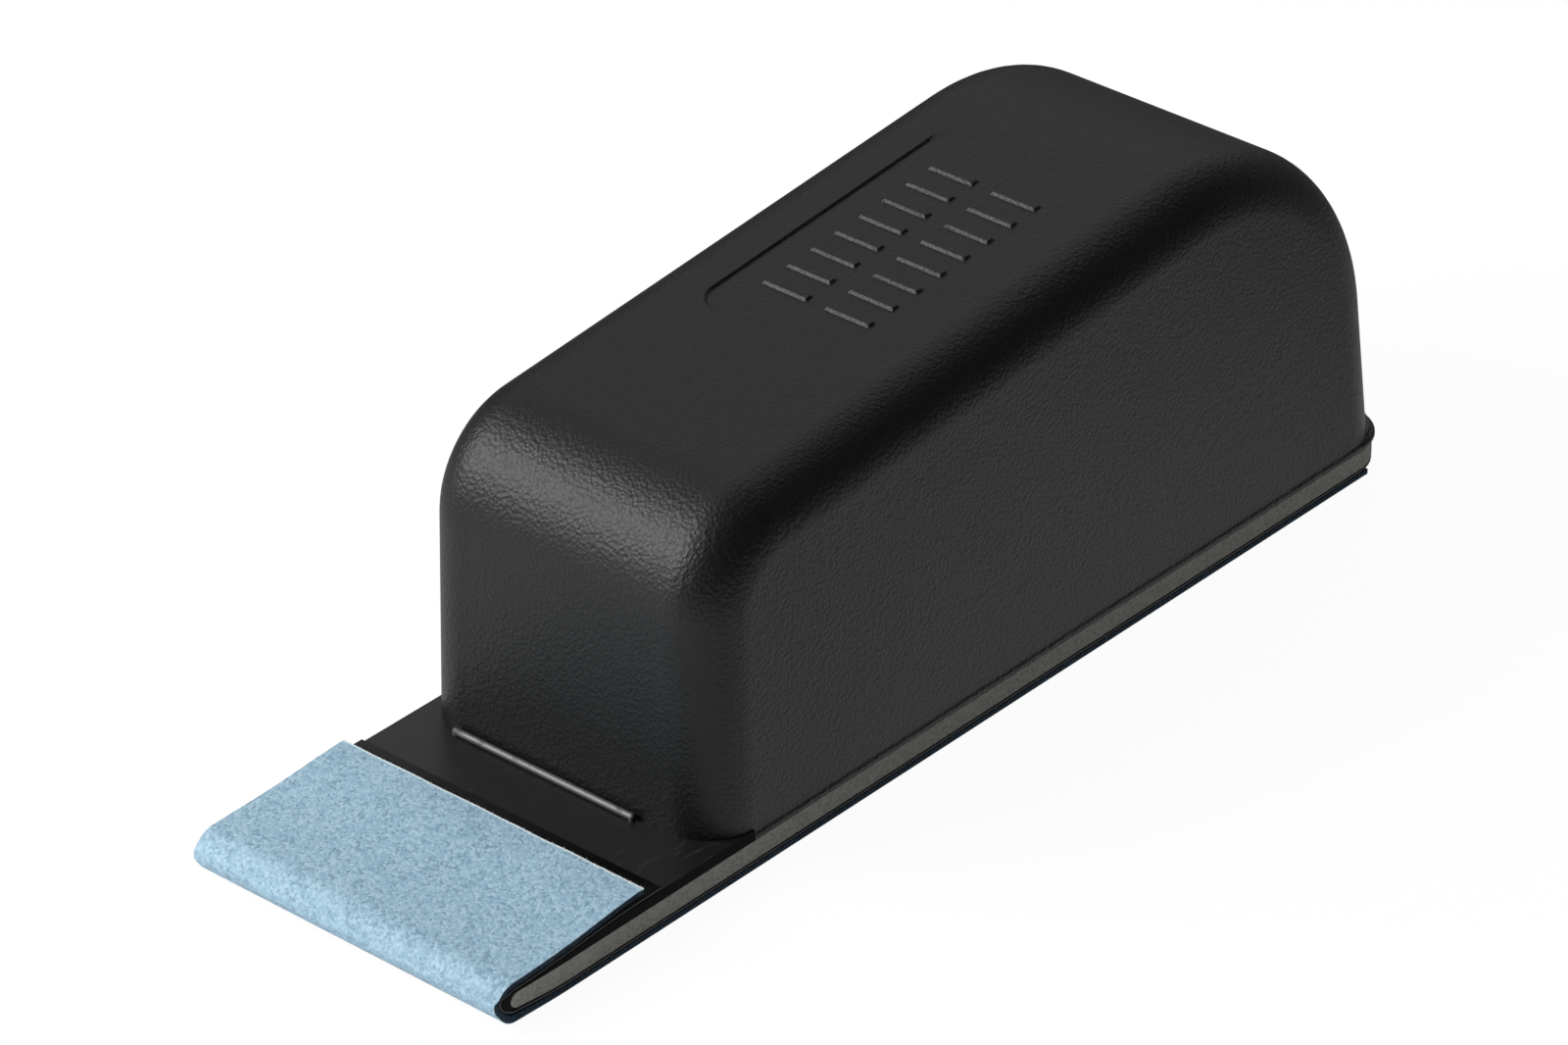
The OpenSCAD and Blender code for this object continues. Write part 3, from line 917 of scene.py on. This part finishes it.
def build_hook_pad(sole, colours):
    """The hook pad: a film bonded to the core and the plate, and rows of mushroom hooks on it."""
    material = hook_fabric(colours.hooks)
    film_radius = PLATE_RADIUS + sole.film
    end = NOSE_LOW.x + sole.tongue_reach
    whole_leg = HOOK_HIGH.x - NOSE_AXIS.x
    bm = wrapped_sheet(film_radius, HOOK_HIGH.x, end, pitch=whole_leg, cuts=0)
    heel = [vert for vert in bm.verts if vert.co.x > HOOK_HIGH.x - SAME]
    round_off(bm, heel, sole.heel_radius, segments=10)
    tuck_nose(sole, bm)
    film = new_piece("hook_film", bm, material)
    thicken(film, sole.film)
    hooks = new_piece("hook_pins", hook_rows(sole, film_radius, end), material)
    for vert in hooks.data.vertices:
        vert.co.z = tucked(sole, vert.co)
    for piece in (film, hooks):
        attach(piece, "block")
        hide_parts("hook_pad")


def hook_rows(sole, film_radius, end):
    """Rows of mushroom hooks over the whole pad: a short stem and a wider head, each with four sides."""
    reach = HOOK_RADIUS - film_radius
    head = 0.12 * MM
    row = bmesh.new()
    per_row = math.floor((2 * HALF_WIDTH - sole.hook_pitch) / sole.hook_pitch)
    for index in range(per_row):
        across = (index - (per_row - 1) / 2) * sole.hook_pitch
        stem = Matrix.Translation((0.0, across, (reach - head) / 2))
        bmesh.ops.create_cone(row, cap_ends=True, segments=4, radius1=0.3 * sole.hook_head,
                              radius2=0.2 * sole.hook_head, depth=reach - head, matrix=stem)
        crown = Matrix.Translation((0.0, across, reach - head / 2))
        bmesh.ops.create_cone(row, cap_ends=True, segments=4, radius1=0.5 * sole.hook_head,
                              radius2=0.34 * sole.hook_head, depth=head, matrix=crown)
    length = HOOK_HIGH.x - NOSE_AXIS.x + math.pi * film_radius + end - NOSE_AXIS.x
    row_count = math.floor(length / sole.hook_pitch)
    bm = stamped(row, [wrap_place(index * sole.hook_pitch, HOOK_HIGH.x, film_radius)
                       for index in range(1, row_count)])
    centre = Vector((HOOK_HIGH.x - sole.heel_radius, HALF_WIDTH - sole.heel_radius))
    inner = sole.heel_radius - sole.hook_head / 2
    outside = [vert for vert in bm.verts
               if vert.co.x > centre.x and abs(vert.co.y) > centre.y
               and (Vector((vert.co.x, abs(vert.co.y))) - centre).length > inner]
    connected = {linked for vert in outside for linked in whole_hook(vert)}
    bmesh.ops.delete(bm, geom=list(connected), context="VERTS")
    return bm


def whole_hook(vert):
    """All points of the small solid that a point belongs to."""
    found = {vert}
    edge_of_search = [vert]
    while edge_of_search:
        here = edge_of_search.pop()
        for edge in here.link_edges:
            other = edge.other_vert(here)
            if other not in found:
                found.add(other)
                edge_of_search.append(other)
    return found


def build_steel(colours):
    """Gives the foot wire and the screws their steel."""
    steel = drawn_steel(colours.steel)
    for name in ("foot_wire", "grip_screws"):
        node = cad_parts[name]
        node.data.materials.clear()
        node.data.materials.append(steel)


# ---------------------------------------------------------------- strip


def unrolled(point):
    """Place of a point on the strip laid flat: along, across, and its distance from the nose axis."""
    sole_run = STRIP_TAIL - NOSE_AXIS.x
    if point.x > NOSE_AXIS.x and point.z < NOSE_AXIS.z:
        return (STRIP_TAIL - point.x, point.y, NOSE_AXIS.z - point.z)
    if point.x > NOSE_AXIS.x:
        along = sole_run + math.pi * LOOP_RADIUS + point.x - NOSE_AXIS.x
        return (along, point.y, point.z - NOSE_AXIS.z)
    out = Vector((NOSE_AXIS.x - point.x, NOSE_AXIS.z - point.z))
    return (sole_run + LOOP_RADIUS * math.atan2(out.x, out.y), point.y, out.length)


def lift_of_end(strip, point):
    """How far the paper on the tongue stands up at a point: its loose end rises, and it waves a little."""
    wave_size = 8 * MM
    uneven_size = 5 * MM
    held_down = 4 * MM
    from_end = STRIP_END - point.x
    rise = strip.lift * smooth_step(1.0 - from_end / strip.lift_length)
    wave = 0.5 + 0.5 * noise.noise(Vector((point.x, point.y, 0.0)) / wave_size)
    uneven = 0.5 + 0.5 * noise.noise(Vector((2.0, point.y / uneven_size, 0.0)))
    start = smooth_step((point.x - NOSE_AXIS.x) / held_down)
    return start * (rise * (0.6 + 0.8 * uneven) + strip.wave * wave)


def strip_layer(strip, sole, name, radius, thickness, material):
    """One layer of the strip: a closed sheet, lifted at its loose end and tucked down at the nose."""
    cuts = math.ceil(2 * HALF_WIDTH / strip.mesh_pitch) - 1
    bm = wrapped_sheet(radius, STRIP_TAIL, STRIP_END, strip.mesh_pitch, cuts)
    layer = new_piece(name, bm, material)
    thicken(layer, thickness)
    mesh = layer.data
    mesh.set_sharp_from_angle(angle=math.radians(40))
    flat = mesh.attributes.new("laid_flat", "FLOAT_VECTOR", "POINT")
    for index, vert in enumerate(mesh.vertices):
        flat.data[index].vector = unrolled(vert.co)
        if vert.co.z > NOSE_AXIS.z:
            vert.co.z += lift_of_end(strip, vert.co)
        vert.co.z = tucked(sole, vert.co)
    return layer


def bend_at_nose(piece):
    """Bakes the piece's place into its mesh."""
    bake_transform(piece)


def cut_fringe(strip, material):
    """Fibres that stand out of the cut end of the strip."""
    dice = random.Random(11)
    fringed_share = 0.995
    shortest_share = 0.35
    root_depth = 0.1 * MM
    bm = bmesh.new()
    middle = NOSE_AXIS.z + LOOP_RADIUS
    for _ in range(strip.fibre_count):
        across = dice.uniform(-HALF_WIDTH, HALF_WIDTH) * fringed_share
        length = strip.fibre_length * dice.uniform(shortest_share, 1.0)
        root = Vector((STRIP_END - root_depth, across, middle + dice.uniform(-0.1, 0.25) * MM))
        root.z += lift_of_end(strip, root)
        tilt = Matrix.Rotation(math.radians(dice.uniform(35, 100)), 4, "Y")
        swing = Matrix.Rotation(math.radians(dice.uniform(-50, 50)), 4, "Z")
        place = Matrix.Translation(root) @ swing @ tilt @ Matrix.Translation((0.0, 0.0, length / 2))
        bmesh.ops.create_cone(bm, cap_ends=True, segments=3, radius1=strip.fibre_width / 2,
                              radius2=strip.fibre_width / 4, depth=length, matrix=place)
    return new_piece("cut_fringe", bm, material)


def build_strip(strip, sole, colours):
    """The abrasive strip: grit coat outside, loop backing inside, and the fringe of its cut end."""
    backing_radius = GRIT_RADIUS - strip.coat
    grit = strip_layer(strip, sole, "grit_sheet", GRIT_RADIUS, strip.coat, grit_coat(strip, colours))
    bend_at_nose(grit)
    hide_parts("grit_sole", "grit_nose", "grit_flap")
    loops = strip_layer(strip, sole, "loop_backing", backing_radius, backing_radius - LOOP_INNER_RADIUS,
                        loop_velour(colours.loops))
    bend_at_nose(loops)
    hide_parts("loop_sole", "loop_nose", "loop_flap")
    fringe = cut_fringe(strip, fringe_fibre(colours.fringe))
    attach(fringe, "flap")


# ---------------------------------------------------------------- stage


def add_softbox(name, direction, distance, size, brightness):
    """A square lamp that faces the block from a direction, with the brightness that a gloss shows."""
    lamp = bpy.data.lights.new(name, "AREA")
    lamp.shape = "RECTANGLE"
    lamp.size = size
    lamp.size_y = size
    lamp.energy = brightness * math.pi * size * size
    box = bpy.data.objects.new(name, lamp)
    bpy.context.scene.collection.objects.link(box)
    away = Vector(direction).normalized()
    box.location = away * distance
    box.rotation_mode = "QUATERNION"
    box.rotation_quaternion = away.to_track_quat("Z", "Y")


def light_studio(stage):
    """Even light from all round, white to the eye and dark in reflections, and two softboxes."""
    world = bpy.data.worlds.new("studio")
    bpy.context.scene.world = world
    finish = Finish("studio", world)
    eye, gloss = seen_by(finish)
    direction = finish.node("ShaderNodeTexCoord", output="Generated")
    glow_edge, glow_full = 0.72, 0.95   # cosines of the angle to +X
    behind = finish.steps(finish.axis(direction, "X"), glow_edge, glow_full)
    room = finish.mix(behind, paint((stage.dome,) * 3), paint((stage.glow,) * 3))
    to_gloss = finish.mix(gloss, paint((stage.fill,) * 3), room)
    colour = finish.mix(eye, to_gloss, (1.0, 1.0, 1.0, 1.0))
    shader = finish.node("ShaderNodeBackground", {}, {"Color": colour, "Strength": 1.0})
    finish.node("ShaderNodeOutputWorld", {}, {"Surface": shader})
    add_softbox("key_softbox", direction=(-0.62, 0.57, 0.54), distance=0.95, size=0.56, brightness=13.5)
    add_softbox("back_softbox", direction=(0.55, 0.42, 0.72), distance=1.3, size=1.3, brightness=0.75)


def aim_camera(stage):
    """The camera, with a long lens, from above the near front corner."""
    lens = bpy.data.cameras.new("camera")
    lens.sensor_width = 36.0
    lens.lens = stage.lens
    lens.clip_start = 0.05
    camera = bpy.data.objects.new("camera", lens)
    bpy.context.scene.collection.objects.link(camera)
    back = Vector((math.sin(stage.azimuth) * math.cos(stage.elevation),
                   -math.cos(stage.azimuth) * math.cos(stage.elevation),
                   math.sin(stage.elevation)))
    camera.location = Vector(stage.aim) + back * stage.distance
    camera.rotation_mode = "QUATERNION"
    level = (-back).to_track_quat("-Z", "Y")
    camera.rotation_quaternion = level @ Matrix.Rotation(stage.roll, 4, "Z").to_quaternion()
    bpy.context.scene.camera = camera


def build_stage(stage, colours):
    """Pale floor, lamps and camera."""
    bm = bmesh.new()
    bmesh.ops.create_grid(bm, x_segments=1, y_segments=1, size=stage.floor_size / 2)
    floor = new_piece("floor", bm, floor_paper(stage, colours.floor))
    light_studio(stage)
    aim_camera(stage)
    bpy.context.scene.view_settings.view_transform = "Standard"


# ---------------------------------------------------------------- operators


class SANDBLOCK_OT_stage(bpy.types.Operator):
    """Add the pale floor, the lamps and the camera"""

    bl_idname = "sandblock.stage"
    bl_label = "Stage"

    def execute(self, context):
        settings = context.scene.sandblock
        build_stage(settings.stage, settings.colours)
        return {"FINISHED"}


class SANDBLOCK_OT_grip(bpy.types.Operator):
    """Add the moulded grip with its recessed field and thumb bars"""

    bl_idname = "sandblock.grip"
    bl_label = "Grip"

    def execute(self, context):
        settings = context.scene.sandblock
        build_grip(settings.grip, settings.colours)
        return {"FINISHED"}


class SANDBLOCK_OT_sole(bpy.types.Operator):
    """Add the rigid plate and the foam core"""

    bl_idname = "sandblock.sole"
    bl_label = "Plate and core"

    def execute(self, context):
        settings = context.scene.sandblock
        build_sole(settings.sole, settings.colours)
        return {"FINISHED"}


class SANDBLOCK_OT_hook_pad(bpy.types.Operator):
    """Add the hook pad with its rows of mushroom hooks"""

    bl_idname = "sandblock.hook_pad"
    bl_label = "Hook pad"

    def execute(self, context):
        settings = context.scene.sandblock
        build_hook_pad(settings.sole, settings.colours)
        return {"FINISHED"}


class SANDBLOCK_OT_steel(bpy.types.Operator):
    """Finish the foot wire and the screws in steel"""

    bl_idname = "sandblock.steel"
    bl_label = "Wire and screws"

    def execute(self, context):
        build_steel(context.scene.sandblock.colours)
        return {"FINISHED"}


class SANDBLOCK_OT_strip(bpy.types.Operator):
    """Add the abrasive strip: grit coat, loop backing and fringe"""

    bl_idname = "sandblock.strip"
    bl_label = "Abrasive strip"

    def execute(self, context):
        settings = context.scene.sandblock
        build_strip(settings.strip, settings.sole, settings.colours)
        return {"FINISHED"}


OPERATORS = (
    SANDBLOCK_OT_stage,
    SANDBLOCK_OT_grip,
    SANDBLOCK_OT_sole,
    SANDBLOCK_OT_hook_pad,
    SANDBLOCK_OT_steel,
    SANDBLOCK_OT_strip,
)


class SANDBLOCK_PT_build(bpy.types.Panel):
    """Lists the steps that build the sanding block"""

    bl_idname = "SANDBLOCK_PT_build"
    bl_label = "Sanding Block"
    bl_space_type = "VIEW_3D"
    bl_region_type = "UI"
    bl_category = "Sanding Block"

    def draw(self, context):
        column = self.layout.column(align=True)
        for operator in OPERATORS:
            column.operator(operator.bl_idname)


CLASSES = (
    GripSettings,
    SoleSettings,
    StripSettings,
    ColourSettings,
    StageSettings,
    BlockSettings,
    *OPERATORS,
    SANDBLOCK_PT_build,
)


def register():
    for cls in CLASSES:
        bpy.utils.register_class(cls)
    bpy.types.Scene.sandblock = bpy.props.PointerProperty(type=BlockSettings)


def unregister():
    del bpy.types.Scene.sandblock
    for cls in reversed(CLASSES):
        bpy.utils.unregister_class(cls)


def main():
    register()
    bpy.ops.sandblock.stage()
    bpy.ops.sandblock.grip()
    bpy.ops.sandblock.sole()
    bpy.ops.sandblock.hook_pad()
    bpy.ops.sandblock.steel()
    bpy.ops.sandblock.strip()


if __name__ == "__main__":
    main()
